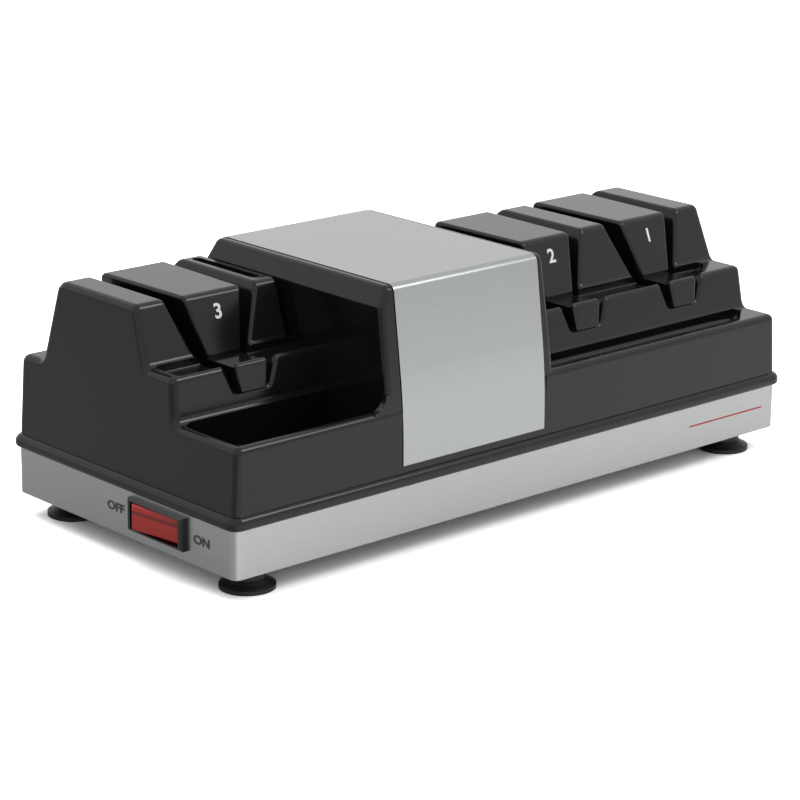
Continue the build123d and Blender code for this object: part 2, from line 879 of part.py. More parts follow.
def guide_wedge(station, centre, shrink=0.0):
    """The upper wedge of a guide block: wider at the top and towards the back."""
    sections = []
    depth = station.back_top - station.front_top
    low = guide_kink_z
    high = station_z + 2.0
    for y in (station.front_foot - 10.0, station.back_foot + 5.0):
        share = (y - station.front_top) / depth
        a, b = guide_half(low, share) - shrink, guide_half(high, share) - shrink
        plane = Plane(origin=(centre, y, 0), x_dir=(1, 0, 0), z_dir=(0, -1, 0))
        corners = [(-a, low), (-b, high), (b, high), (a, low)]
        sections.append(plane * make_face(Polyline(*corners, close=True)))
    return loft(sections, ruled=True)


def guide_outline(station, inset=0.0):
    out = guide_proud - inset
    corners = [
        (station.front_foot - out, guide_kink_z, 0),
        (station.front_top - out, station_z - inset, front_top_bend if inset == 0 else 0),
        (station.back_top - inset, station_z - inset, guide_back_bend if inset == 0 else 0),
        (station.back_foot - inset, back_ledge_z, 0),
        (station.back_foot - inset, guide_kink_z - guide_skirt, 0),
        (station.front_foot - out, guide_kink_z - guide_skirt, 0),
    ]
    return along_x(outline(YZ, corners), -half_length, half_length)


def guide_foot(station, centre):
    """The narrow lower part: it shows as a small block in the riser."""
    slope = (station.riser_top - station.riser_foot) / (ledge_z - rim_z)
    front_low = station.riser_foot + slope * (floor_z - rim_z) - guide_proud
    back_slope = (station.back_top - station.back_foot) / (station_z - back_ledge_z)
    corners = [
        (front_low, floor_z, 0),
        (station.riser_top - guide_proud, guide_kink_z, guide_foot_bend),
        (station.back_foot + back_slope * (guide_kink_z - back_ledge_z), guide_kink_z, 0),
        (station.back_foot + back_slope * (floor_z - back_ledge_z), floor_z, 0),
    ]
    half_low, half_high = guide_floor_half, guide_ledge_half_front - guide_foot_inset
    body = along_x(outline(YZ, corners), centre - half_high, centre + half_high)
    sides = [(-half_low, floor_z, 0), (-half_high, guide_kink_z, 0), (half_high, guide_kink_z, 0),
             (half_low, floor_z, 0)]
    body = body & (Pos(centre, 0, 0) * along_y(outline(XZ, sides), -base_depth, base_depth))
    front = body.faces().sort_by(Axis.Y)[0]
    upright = [e for e in front.edges() if e.bounding_box().size.Z > 4 * guide_round]
    return fillet(upright, guide_round)


def guide_block(name):
    station, centre = stations[name], stage_centres[name]
    body = guide_wedge(station, centre) & guide_outline(station)
    sides = [f for f in body.faces() if abs(f.normal_at().X) > 0.8]
    seams = [e for f in sides for e in f.edges() if e.center().Z > guide_kink_z + edge_tolerance]
    body = fillet(seams, guide_round)
    room = guide_wedge(station, centre, wall) & guide_outline(station, wall)
    body = body - room
    body = body + guide_foot(station, centre) - disc_relief(centre, 2 * channel_floor_half)
    body = body - block(centre - channel_floor_half, centre + channel_floor_half,
                        station.riser_top + trough_rim - guide_proud, station.front_foot - guide_proud,
                        ledge_z - boss_trough_depth, guide_kink_z)
    for y in guide_screw_places(name):
        body = body - rod_z(centre, y, floor_z - 1, floor_z + guide_screw_grip, guide_screw_hole)
    return body


def guide_screw(centre, y):
    under = floor_z - wall
    head = rod_z(centre, y, under - guide_screw_head, under, guide_screw_head_radius)
    return head + rod_z(centre, y, under, floor_z + guide_screw_grip - 1, guide_screw_radius)


def magnets():
    """A bar magnet behind each channel wall, to draw the blade against it."""
    bars = []
    middle_z = floor_z + magnet_above_floor
    for name, centre in stage_centres.items():
        station = stations[name]
        middle_y = (station.front_top + station.back_top) / 2
        for side in (-1, 1):
            surface_x = centre + side * channel_half(middle_z)
            out = wall + seat_gap + magnet_thickness / 2
            x = surface_x + side * out * math.cos(math.radians(channel_angle))
            z = middle_z - out * math.sin(math.radians(channel_angle))
            bar = Box(magnet_thickness, magnet_length, magnet_height)
            bars.append(Pos(x, middle_y, z) * Rot(0, side * channel_angle, 0) * bar)
    return bars


# ---------------------------------------------------------------- drive
def drive_shaft():
    body = rod_x(shaft_left, shaft_right, shaft_y, shaft_z, shaft_radius)
    return chamfer(body.edges().filter_by(GeomType.CIRCLE), shaft_chamfer)


def bush(x):
    profile = [
        (x - bush_length / 2, shaft_radius + bush_clearance),
        (x - bush_length / 2, bush_radius),
        (x + bush_length / 2, bush_radius),
        (x + bush_length / 2, shaft_radius + bush_clearance),
    ]
    return spun_x(profile, shaft_y, shaft_z)


def bracket(x, width, top_z, foot_side):
    """An upright sheet with a foot flange and a hole for its bush."""
    half = bracket_sheet / 2
    body = block(x - half, x + half, shaft_y - width / 2, shaft_y + width / 2, plate_top, top_z)
    tops = [e for e in body.edges().filter_by(Axis.X) if e.center().Z > shaft_z]
    body = fillet(tops, end_bracket_width / 4)
    x0, x1 = sorted((x, x + foot_side * bracket_foot))
    body = body + block(x0, x1, shaft_y - width / 2, shaft_y + width / 2, plate_top,
                        plate_top + bracket_sheet)
    body = body - rod_x(x - half - 1, x + half + 1, shaft_y, shaft_z, bush_radius)
    for px, py in bracket_screws_at(x, width, foot_side):
        hole = rod_z(px, py, plate_top - 1, plate_top + bracket_sheet + 1, screw_radius + screw_clearance)
        body = body - hole
    return body


def bracket_screws_at(x, width, foot_side):
    screw_x = x + foot_side * bracket_foot * bracket_screw_share
    return [(screw_x, shaft_y + side * (width / 2 - bracket_screw_inset)) for side in (-1, 1)]


def bracket_screw_places():
    places = []
    for x, width, foot_side in bracket_list:
        places += bracket_screws_at(x, width, foot_side)
    return places


def motor_bolt_places():
    reach = motor_bolt_offset
    return [(shaft_y + a * reach, shaft_z + b * reach) for a in (-1, 1) for b in (-1, 1)]


def motor_bracket(x, foot_side):
    body = bracket(x, 2 * stator_half, shaft_z + stator_half, foot_side)
    for y, z in motor_bolt_places():
        body = body - rod_x(x - bracket_sheet, x + bracket_sheet, y, z, motor_bolt_radius + screw_clearance)
    return body


def motor_bolts():
    bolts = []
    x0 = motor_left_x - bracket_sheet / 2
    x1 = motor_right_x + bracket_sheet / 2
    for y, z in motor_bolt_places():
        head = rod_x(x0 - motor_bolt_head, x0, y, z, 2 * motor_bolt_radius)
        nut = rod_x(x1, x1 + motor_nut, y, z, motor_nut_share * motor_bolt_radius)
        bolts.append(head + nut + rod_x(x0, x1 + motor_nut + screw_end, y, z, motor_bolt_radius))
    return bolts


def stator_spacers():
    """Tubes on the bolts that hold the stator between its two brackets."""
    tubes = []
    reach = motor_bracket_gap - bracket_sheet / 2
    for y, z in motor_bolt_places():
        for side in (-1, 1):
            near = motor_x + side * stator_length / 2
            x0, x1 = sorted((near, near + side * reach))
            tube = rod_x(x0, x1, y, z, motor_bolt_radius + spacer_wall)
            tubes.append(tube - rod_x(x0 - 1, x1 + 1, y, z, motor_bolt_radius + screw_clearance))
    return tubes


def stator_core():
    x0, x1 = motor_x - stator_length / 2, motor_x + stator_length / 2
    body = Pos((x0 + x1) / 2, shaft_y, shaft_z) * Box(x1 - x0, 2 * stator_half, 2 * stator_half)
    body = fillet(body.edges().filter_by(Axis.X), stator_round)
    body = body - rod_x(x0 - 1, x1 + 1, shaft_y, shaft_z, stator_bore)
    for side in (-1, 1):
        near, far = shaft_y + side * window_near, shaft_y + side * window_far
        body = body - block(x0 - 1, x1 + 1, min(near, far), max(near, far),
                            shaft_z - window_half, shaft_z + window_half)
    for y, z in motor_bolt_places():
        body = body - rod_x(x0 - 1, x1 + 1, y, z, motor_bolt_radius + screw_clearance)
    return body


def stator_windings():
    coils = []
    gap = winding_gap
    x_in = stator_length / 2 + gap
    x_out = stator_length / 2 + winding_overhang
    for side in (-1, 1):
        near = shaft_y + side * (window_near + gap)
        far = shaft_y + side * (stator_half + window_far - window_near)
        coil = soft_block(motor_x - x_out, motor_x + x_out, min(near, far), max(near, far),
                          shaft_z - window_half + gap, shaft_z + window_half - gap, winding_round)
        a, b = shaft_y + side * (window_far - gap), shaft_y + side * (stator_half + gap)
        hole = block(motor_x - x_in, motor_x + x_in, min(a, b), max(a, b), shaft_z - stator_half,
                     shaft_z + stator_half)
        coils.append(coil - hole)
    return coils


def rotor_core():
    half = stator_length / 2
    radius = stator_bore - rotor_gap
    low = radius - rotor_step
    left, right = motor_x - half, motor_x + half
    profile = [
        (left - rotor_ring, shaft_radius), (left - rotor_ring, low), (left, low), (left, radius),
        (right, radius), (right, low), (right + rotor_ring, low), (right + rotor_ring, shaft_radius),
    ]
    return spun_x(profile, shaft_y, shaft_z)


def cooling_fan():
    hub = rod_x(-fan_hub_length / 2, fan_hub_length / 2, 0, 0, fan_hub_radius)
    blade_length = fan_radius - fan_hub_radius + fan_blade_root
    blade = Rot(0, 0, fan_blade_twist) * Box(fan_blade_sheet, fan_blade_width, blade_length)
    blade = Pos(0, 0, fan_hub_radius - fan_blade_root + blade_length / 2) * blade
    for turn in range(fan_blades):
        hub = hub + Rot(turn * 360 / fan_blades, 0, 0) * blade
    hub = hub - rod_x(-fan_hub_length, fan_hub_length, 0, 0, shaft_radius)
    return Pos(fan_x, shaft_y, shaft_z) * hub


def disc(centre, side):
    """One dished abrasive disc; its outer face leans like the blade beside it."""
    rim_out = disc_outer_face
    web_out = disc_outer_face - disc_dish
    inner = disc_outer_face - disc_thickness
    profile = [
        (spring_pocket_floor, shaft_radius + disc_bore_clearance),
        (rim_out, shaft_radius + disc_bore_clearance),
        (rim_out, disc_hub_radius),
        (web_out, disc_hub_radius + disc_hub_slope),
        (web_out, disc_radius - disc_land),
        (rim_out, disc_radius),
        (rim_out - disc_rim, disc_radius),
        (inner, disc_radius - disc_land),
        (inner, spring_pocket_radius),
        (spring_pocket_floor, spring_pocket_radius),
    ]
    body = spun_x([(centre + side * x, r) for x, r in profile], shaft_y, shaft_z)
    for turn in (-1, 1):
        z = shaft_z + turn * dog_radius
        hole = rod_x(centre - disc_radius, centre + disc_radius, shaft_y, z, dog_pin_radius + dog_clearance)
        body = body - hole
    return body


def drive_dog(centre):
    """A collar pressed on the shaft with two pins that turn both discs."""
    profile = [
        (centre - dog_flange_half, shaft_radius), (centre - dog_flange_half, dog_flange_radius),
        (centre + dog_flange_half, dog_flange_radius), (centre + dog_flange_half, shaft_radius),
    ]
    body = spun_x(profile, shaft_y, shaft_z)
    for turn in (-1, 1):
        z = shaft_z + turn * dog_radius
        body = body + rod_x(centre - dog_pin_reach, centre + dog_pin_reach, shaft_y, z, dog_pin_radius)
    return body


def disc_spring(centre, side):
    start = dog_flange_half + seat_gap + spring_wire / 2
    end = spring_pocket_floor - seat_gap - spring_wire / 2
    height = end - start
    path = Helix(height / spring_turns, height, spring_mean_radius)
    section = Plane(origin=path @ 0, z_dir=path % 0) * Circle(spring_wire / 2)
    coil = sweep(section, path)
    x = centre + start if side > 0 else centre - end
    return Pos(x, shaft_y, shaft_z) * Rot(0, 90, 0) * coil


def retaining_ring(x):
    profile = [(x - ring_half, shaft_radius), (x - ring_half, ring_radius),
               (x + ring_half, ring_radius), (x + ring_half, shaft_radius)]
    return spun_x(profile, shaft_y, shaft_z)


# ---------------------------------------------------------------- switch
def bezel_room(gap):
    """The space the rocker swings in, about its pivot."""
    body = rod_z(pivot_x, switch_y, switch_z - rocker_height / 2 - gap, switch_z + rocker_height / 2 + gap,
                 rocker_radius + gap)
    keep = block(pivot_x - 2 * rocker_radius, pivot_x + rocker_depth, switch_y - 2 * rocker_radius,
                 switch_y + 2 * rocker_radius, band_bottom, band_top)
    return body & keep


def switch_bezel():
    half_y, half_z = bezel_length / 2, bezel_height / 2
    flange = block(bezel_front_x, -half_length, switch_y - half_y, switch_y + half_y, switch_z - half_z,
                   switch_z + half_z)
    flange = chamfer(flange.faces().sort_by(Axis.X)[0].edges(), bezel_chamfer)
    sleeve = block(-half_length, bezel_back_x, switch_y - cut_out_half_length + seat_gap,
                   switch_y + cut_out_half_length - seat_gap, switch_z - cut_out_half_height + seat_gap,
                   switch_z + cut_out_half_height - seat_gap)
    body = flange + sleeve - bezel_room(rocker_gap)
    mouth = block(bezel_front_x - 1, pivot_x, switch_y - rocker_radius - rocker_gap,
                  switch_y + rocker_radius + rocker_gap, switch_z - rocker_height / 2 - rocker_gap,
                  switch_z + rocker_height / 2 + rocker_gap)
    body = body - mouth
    return body - rod_z(pivot_x, switch_y, band_bottom, band_top, pivot_radius)


def switch_body():
    body = block(bezel_back_x, switch_back_x, switch_y - cut_out_half_length + seat_gap,
                 switch_y + cut_out_half_length - seat_gap, switch_z - cut_out_half_height + seat_gap,
                 switch_z + cut_out_half_height - seat_gap)
    return body - bezel_room(rocker_gap)


def switch_terminals():
    tabs = []
    half_sheet, half_width = terminal_tab_sheet / 2, terminal_tab_width / 2
    for step in (-1, 0, 1):
        y = switch_y + terminal_tab_pitch * step
        tabs.append(block(switch_back_x, switch_back_x + terminal_tab_length, y - half_sheet, y + half_sheet,
                          switch_z - half_width, switch_z + half_width))
    return tabs


def switch_rocker():
    """The rocker at rest: its front end is pressed in, so the back end stands out."""
    low, high = switch_z - rocker_height / 2, switch_z + rocker_height / 2
    body = rod_z(pivot_x, switch_y, low, high, rocker_radius)
    body = body & block(pivot_x - rocker_face, pivot_x + rocker_back, switch_y - 2 * rocker_radius,
                        switch_y + 2 * rocker_radius, low, high)
    face = body.faces().sort_by(Axis.X)[0]
    body = fillet(face.edges(), rocker_round)
    body = body - rod_z(pivot_x, switch_y, low - 1, high + 1, pivot_radius + bush_clearance)
    turn = Pos(pivot_x, switch_y, 0) * Rot(0, 0, rocker_rest_angle) * Pos(-pivot_x, -switch_y, 0)
    return turn * body


def switch_pivot():
    reach = cut_out_half_height - 2 * seat_gap
    return rod_z(pivot_x, switch_y, switch_z - reach, switch_z + reach, pivot_radius)


# ---------------------------------------------------------------- every node
os.makedirs("parts", exist_ok=True)
save("base_band", base_band())
save("bottom_plate", bottom_plate())
for x, y in foot_places:
    side = "left" if x < 0 else "right"
    end = "front" if y < 0 else "back"
    save(f"foot_{end}_{side}", foot(x, y))
save("foot_screws", [foot_screw(x, y) for x, y in foot_places])
save("foot_nuts", [foot_nut(x, y) for x, y in foot_places])
save("upper_housing", upper_housing())
save("housing_screws", [plate_screw(x, y, boss_hole_depth - 2 * screw_end) for x, y in boss_places])
save("centre_cover", centre_cover())
save("cover_screws", cover_screws())
for name in stage_centres:
    save(f"guide_block_{name}", guide_block(name))
guide_screws = [guide_screw(c, y) for name, c in stage_centres.items() for y in guide_screw_places(name)]
save("guide_block_screws", guide_screws)
save("guide_magnets", magnets())
save("drive_shaft", drive_shaft())
save("shaft_bushes", [bush(x) for x, _, _ in bracket_list])
end_bracket_top = shaft_z + end_bracket_width / 2
save("end_bracket_left", bracket(end_bracket_left_x, end_bracket_width, end_bracket_top, 1))
save("end_bracket_right", bracket(end_bracket_right_x, end_bracket_width, end_bracket_top, -1))
save("motor_bracket_left", motor_bracket(motor_left_x, -1))
save("motor_bracket_right", motor_bracket(motor_right_x, 1))
save("bracket_screws", [plate_screw(x, y, bracket_sheet + 3 * screw_end) for x, y in bracket_screw_places()])
save("motor_bolts", motor_bolts())
save("stator_spacers", stator_spacers())
save("stator_core", stator_core())
save("stator_windings", stator_windings())
save("rotor_core", rotor_core())
save("cooling_fan", cooling_fan())
for name, centre in stage_centres.items():
    for side, word in ((-1, "left"), (1, "right")):
        save(f"{name}_disc_{word}", disc(centre, side))
        save(f"{name}_spring_{word}", disc_spring(centre, side))
save("drive_dogs", [drive_dog(c) for c in stage_centres.values()])
ring_offset = disc_outer_face + ring_half + 2 * seat_gap
rings = [c + side * ring_offset for c in stage_centres.values() for side in (-1, 1)]
save("retaining_rings", [retaining_ring(x) for x in rings])
save("switch_bezel", switch_bezel())
save("switch_body", switch_body())
save("switch_terminals", switch_terminals())
save("switch_rocker", switch_rocker())
save("switch_pivot", switch_pivot())
save("cord_gland", cord_gland())
save("gland_nut", gland_nut())
save("terminal_block", terminal_block())
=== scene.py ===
import json
import math

import bpy
from mathutils import Matrix, Vector


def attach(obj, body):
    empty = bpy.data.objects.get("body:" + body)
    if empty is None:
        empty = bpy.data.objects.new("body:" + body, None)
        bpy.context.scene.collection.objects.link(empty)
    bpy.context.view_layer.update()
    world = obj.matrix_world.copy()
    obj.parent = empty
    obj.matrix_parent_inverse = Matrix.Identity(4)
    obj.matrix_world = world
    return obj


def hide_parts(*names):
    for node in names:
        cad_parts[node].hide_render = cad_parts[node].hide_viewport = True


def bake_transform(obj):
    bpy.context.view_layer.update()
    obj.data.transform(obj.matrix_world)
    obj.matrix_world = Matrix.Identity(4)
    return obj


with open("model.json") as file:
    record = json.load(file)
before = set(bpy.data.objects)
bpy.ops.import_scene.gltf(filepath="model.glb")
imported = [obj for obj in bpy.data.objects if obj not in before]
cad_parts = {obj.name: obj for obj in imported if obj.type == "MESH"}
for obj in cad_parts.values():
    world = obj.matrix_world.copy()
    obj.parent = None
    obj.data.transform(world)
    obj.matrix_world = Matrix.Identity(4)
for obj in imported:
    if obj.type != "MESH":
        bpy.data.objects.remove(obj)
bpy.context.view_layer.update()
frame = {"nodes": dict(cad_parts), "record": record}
nodes = frame["nodes"]
scene = bpy.context.scene


# ---------------------------------------------------------------- node material helpers
noise_span = (0.25, 0.75)       # most of a noise value lies between these
grain_height = 0.0002           # m, moulded and cast grain
brush_height = 0.0001           # m, brushed lines
brush_size = 2600.0             # noise scale of brushed lines
end_face = 0.7                  # a face whose normal has more X than this is an end


def new_material(name):
    mat = bpy.data.materials.new(name)
    mat.use_nodes = True
    mat.node_tree.nodes.clear()
    return mat, mat.node_tree.nodes, mat.node_tree.links


def add(tree_nodes, kind, **values):
    node = tree_nodes.new(kind)
    for key, value in values.items():
        setattr(node, key, value)
    return node


def grey(tone):
    return (tone, tone, tone, 1)


def scaled(colour, share):
    return tuple(min(1.0, part * share) for part in colour)


def principled(tree_nodes, links, colour, metallic, roughness):
    shader = add(tree_nodes, "ShaderNodeBsdfPrincipled")
    shader.inputs["Base Color"].default_value = (*colour, 1)
    shader.inputs["Metallic"].default_value = metallic
    shader.inputs["Roughness"].default_value = roughness
    out = add(tree_nodes, "ShaderNodeOutputMaterial")
    links.new(shader.outputs[0], out.inputs[0])
    return shader


def stretched_noise(tree_nodes, links, scale, size, detail=4.0):
    """Noise over object coordinates, stretched by a scale per axis."""
    coords = add(tree_nodes, "ShaderNodeTexCoord")
    mapping = add(tree_nodes, "ShaderNodeMapping")
    mapping.inputs["Scale"].default_value = scale
    links.new(coords.outputs["Object"], mapping.inputs["Vector"])
    noise = add(tree_nodes, "ShaderNodeTexNoise")
    noise.inputs["Scale"].default_value = size
    noise.inputs["Detail"].default_value = detail
    links.new(mapping.outputs[0], noise.inputs["Vector"])
    return noise.outputs["Fac"]


def vary_roughness(tree_nodes, links, shader, value, roughness, low, high):
    """Let a noise value move the roughness between two shares of it."""
    ramp = add(tree_nodes, "ShaderNodeMapRange")
    ramp.inputs["From Min"].default_value, ramp.inputs["From Max"].default_value = noise_span
    ramp.inputs["To Min"].default_value = roughness * low
    ramp.inputs["To Max"].default_value = roughness * high
    links.new(value, ramp.inputs["Value"])
    links.new(ramp.outputs[0], shader.inputs["Roughness"])


def bump(tree_nodes, links, shader, height, strength, distance):
    node = add(tree_nodes, "ShaderNodeBump")
    node.inputs["Strength"].default_value = strength
    node.inputs["Distance"].default_value = distance
    links.new(height, node.inputs["Height"])
    links.new(node.outputs[0], shader.inputs["Normal"])


def tint(tree_nodes, links, shader, value, dark, light):
    """Base colour that drifts between two colours with a 0..1 value."""
    mix = add(tree_nodes, "ShaderNodeMix", data_type="RGBA")
    links.new(value, mix.inputs["Factor"])
    mix.inputs["A"].default_value = (*dark, 1)
    mix.inputs["B"].default_value = (*light, 1)
    links.new(mix.outputs["Result"], shader.inputs["Base Color"])


def moulded(name, dark, light, roughness, grain=900.0, strength=0.05, shine=0.5,
            glint=(1.0, 1.0, 1.0)):
    """A moulded plastic or rubber: faint tone drift and a fine surface grain."""
    mat, tree_nodes, links = new_material(name)
    shader = principled(tree_nodes, links, light, 0.0, roughness)
    drift = stretched_noise(tree_nodes, links, (1, 1, 1), 9.0)
    tint(tree_nodes, links, shader, drift, dark, light)
    fine = stretched_noise(tree_nodes, links, (1, 1, 1), grain, 2.0)
    vary_roughness(tree_nodes, links, shader, fine, roughness, 0.88, 1.12)
    bump(tree_nodes, links, shader, fine, strength, grain_height)
    shader.inputs["Specular IOR Level"].default_value = shine
    shader.inputs["Specular Tint"].default_value = (*glint, 1)
    return mat


def brushed(name, colour, roughness, streak, strength=0.08, tone=0.05):
    """Metal with brushed lines along X, and along Y on the faces at the ends."""
    mat, tree_nodes, links = new_material(name)
    shader = principled(tree_nodes, links, colour, 1.0, roughness)
    along = stretched_noise(tree_nodes, links, (streak, 1, 1), brush_size, 3.0)
    across = stretched_noise(tree_nodes, links, (1, streak, 1), brush_size, 3.0)
    geometry = add(tree_nodes, "ShaderNodeNewGeometry")
    parts = add(tree_nodes, "ShaderNodeSeparateXYZ")
    links.new(geometry.outputs["True Normal"], parts.inputs[0])
    size = add(tree_nodes, "ShaderNodeMath", operation="ABSOLUTE")
    links.new(parts.outputs["X"], size.inputs[0])
    is_end = add(tree_nodes, "ShaderNodeMath", operation="GREATER_THAN")
    is_end.inputs[1].default_value = end_face
    links.new(size.outputs[0], is_end.inputs[0])
    lines = add(tree_nodes, "ShaderNodeMix", data_type="FLOAT")
    links.new(is_end.outputs[0], lines.inputs["Factor"])
    links.new(along, lines.inputs["A"])
    links.new(across, lines.inputs["B"])
    value = lines.outputs["Result"]
    tint(tree_nodes, links, shader, value, scaled(colour, 1 - tone), scaled(colour, 1 + tone))
    vary_roughness(tree_nodes, links, shader, value, roughness, 0.8, 1.2)
    bump(tree_nodes, links, shader, value, strength, brush_height)
    return mat


def metal(name, colour, roughness, grain=500.0, strength=0.05):
    """A plain metal with a fine cast or plated grain."""
    mat, tree_nodes, links = new_material(name)
    shader = principled(tree_nodes, links, colour, 1.0, roughness)
    fine = stretched_noise(tree_nodes, links, (1, 1, 1), grain, 4.0)
    tint(tree_nodes, links, shader, fine, scaled(colour, 0.85), colour)
    vary_roughness(tree_nodes, links, shader, fine, roughness, 0.8, 1.25)
    bump(tree_nodes, links, shader, fine, strength, grain_height)
    return mat


# the rocker's lowest and highest point, and where the painted shade of its fold line lies between
# them:
# (place from 0 to 1, share of the full colour)
rocker_low, rocker_high = 0.01645, 0.02765
rocker_painted_fold_shade = ((0.60, 1.0), (0.68, 0.30), (0.72, 0.30), (0.78, 1.0))


def clear_plastic(name, colour, roughness):
    """The rocker's translucent coloured plastic, with a painted shade along its fold line and a
    painted highlight towards its top.
    """
    mat, tree_nodes, links = new_material(name)
    shader = principled(tree_nodes, links, colour, 0.0, roughness)
    ribs = stretched_noise(tree_nodes, links, (1, 60, 1), 40.0, 2.0)
    coords = add(tree_nodes, "ShaderNodeTexCoord")
    axes = add(tree_nodes, "ShaderNodeSeparateXYZ")
    links.new(coords.outputs["Object"], axes.inputs[0])
    shade = add(tree_nodes, "ShaderNodeValToRGB")
    steps = shade.color_ramp
    # painted shade and painted highlight: darker at the rocker's lowest point, a lighter and paler
    # red at its highest
    steps.elements[0].position = 0.0
    steps.elements[0].color = (*scaled(colour, 0.8), 1)
    steps.elements[1].position = 1.0
    steps.elements[1].color = (min(1, colour[0] * 1.05), colour[1] * 2.2, colour[2] * 2.0, 1)
    # painted shade: a darker band along the fold line
    for place, share in rocker_painted_fold_shade:
        step = steps.elements.new(place)
        step.color = (*scaled(colour, share), 1)
    height = add(tree_nodes, "ShaderNodeMapRange")
    height.inputs["From Min"].default_value = rocker_low
    height.inputs["From Max"].default_value = rocker_high
    links.new(axes.outputs["Z"], height.inputs["Value"])
    links.new(height.outputs[0], shade.inputs[0])
    mix = add(tree_nodes, "ShaderNodeMix", data_type="RGBA", blend_type="MULTIPLY")
    mix.inputs["Factor"].default_value = 0.25
    links.new(shade.outputs[0], mix.inputs["A"])
    links.new(ribs, mix.inputs["B"])
    links.new(mix.outputs["Result"], shader.inputs["Base Color"])
    vary_roughness(tree_nodes, links, shader, ribs, roughness, 0.7, 1.3)
    shader.inputs["Subsurface Weight"].default_value = 0.25
    shader.inputs["Subsurface Radius"].default_value = (0.004, 0.0008, 0.0005)
    shader.inputs["Coat Weight"].default_value = 0.06
    shader.inputs["Coat Roughness"].default_value = 0.06
    return mat


# ---------------------------------------------------------------- materials
dark_plastic = moulded("dark_plastic", (0.02, 0.02, 0.02), (0.035, 0.035, 0.035), 0.45, 900.0, 0.1)
pale_plastic = moulded("pale_plastic", (0.62, 0.6, 0.54), (0.72, 0.7, 0.64), 0.4, 600.0, 0.05)

by_slot = {
    "black_plastic": moulded("black_plastic", (0.004, 0.004, 0.0038), (0.0065, 0.006, 0.0055),
                             0.15, 700.0, 0.008, shine=0.38, glint=(1.0, 0.955, 0.915)),
    "base_steel": brushed("base_steel", (0.40, 0.41, 0.405), 0.30, 0.008, 0.04, 0.025),
    "cover_steel": brushed("cover_steel", (0.365, 0.38, 0.375), 0.24, 0.004, 0.015, 0.015),
    "plate_steel": moulded("plate_paint", (0.02, 0.02, 0.021), (0.035, 0.035, 0.036),
                           0.4, 300.0, 0.2),
    "bracket_steel": brushed("bracket_steel", (0.52, 0.53, 0.54), 0.38, 0.05),
    "foot_rubber": moulded("foot_rubber", (0.006, 0.006, 0.006), (0.012, 0.012, 0.012),
                           0.5, 1200.0, 0.15),
    "screw_steel": metal("screw_steel", (0.55, 0.55, 0.53), 0.28),
    "magnet_nickel": metal("magnet_nickel", (0.6, 0.58, 0.54), 0.22),
    "shaft_steel": brushed("shaft_steel", (0.55, 0.55, 0.56), 0.25, 1.0),
    "bush_bronze": metal("bush_bronze", (0.55, 0.36, 0.18), 0.4),
    "stator_steel": brushed("stator_steel", (0.28, 0.28, 0.29), 0.45, 60.0, 0.3),
    "coil_copper": brushed("coil_copper", (0.62, 0.24, 0.1), 0.3, 40.0, 0.4),
    "rotor_metal": brushed("rotor_metal", (0.4, 0.4, 0.41), 0.4, 40.0, 0.2),
    "fan_plastic": pale_plastic,
    "diamond_disc": metal("diamond_disc", (0.42, 0.42, 0.41), 0.55, 4200.0, 0.6),
    "strop_disc": moulded("strop_disc", (0.045, 0.032, 0.022), (0.08, 0.055, 0.035),
                          0.75, 2200.0, 0.5),
    "spring_steel": metal("spring_steel", (0.55, 0.55, 0.55), 0.25),
    "bezel_plastic": moulded("bezel_plastic", (0.004, 0.004, 0.004), (0.006, 0.006, 0.006),
                             0.16, 900.0, 0.02),
    "rocker_red": clear_plastic("rocker_red", (0.44, 0.010, 0.005), 0.16),
    "switch_plastic": dark_plastic,
    "terminal_brass": metal("terminal_brass", (0.62, 0.46, 0.2), 0.3),
    "gland_plastic": dark_plastic,
    "block_plastic": pale_plastic,
}
print_white = moulded("print_white", (0.72, 0.72, 0.7), (0.82, 0.82, 0.8), 0.5, 2000.0, 0.05)
print_black = moulded("print_black", (0.02, 0.02, 0.02), (0.04, 0.04, 0.04), 0.5, 2000.0, 0.05)
print_red = moulded("print_red", (0.42, 0.03, 0.03), (0.5, 0.05, 0.04), 0.5, 2000.0, 0.05)

for row in frame["record"]["subparts"]:
    piece = nodes[row["node"]]
    piece.data.materials.clear()
    piece.data.materials.append(by_slot[row["material_slot"]])


# ---------------------------------------------------------------- disc springs
# A stored spring keeps its length; a baked copy of it takes its place, and the stored one is
# hidden.
for stage in ("strop", "fine", "coarse"):
    for hand, dog_end, disc_end in (("left", 1, 0), ("right", 0, 1)):
        stored = nodes[f"{stage}_spring_{hand}"]
        coil = bpy.data.objects.new(f"{stage}_coil_{hand}", stored.data.copy())
        scene.collection.objects.link(coil)
        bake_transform(coil)
        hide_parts(f"{stage}_spring_{hand}")


# ---------------------------------------------------------------- printed marks
body_per_capital = 1.42         # a letter's body size over the height of its capitals
print_half_thickness = 0.00005
print_gap = 0.00006             # from the face to the middle of the lettering

stage_mark_height = 0.0062
stage_mark_share = 0.66         # how far up a guide block's front face its number stands
switch_mark_height = 0.0036
switch_mark_look = (1.3, 0.05)  # stretch and weight
left_end = (-1, 0, 0)

# number: (x, foot of the block's front face, top of it), both as (y, z)
stage_marks = {
    "3": (-0.1182, (-0.0145, 0.0846), (-0.0065, 0.1089)),
    "2": (0.0558, (-0.0369, 0.0846), (-0.0269, 0.1089)),
    "1": (0.119, (-0.0369, 0.0846), (-0.0269, 0.1089)),
}
switch_marks = {
    "OFF": (-0.1625, 0.0040, 0.0214),
    "ON": (-0.1625, -0.0534, 0.0216),
}


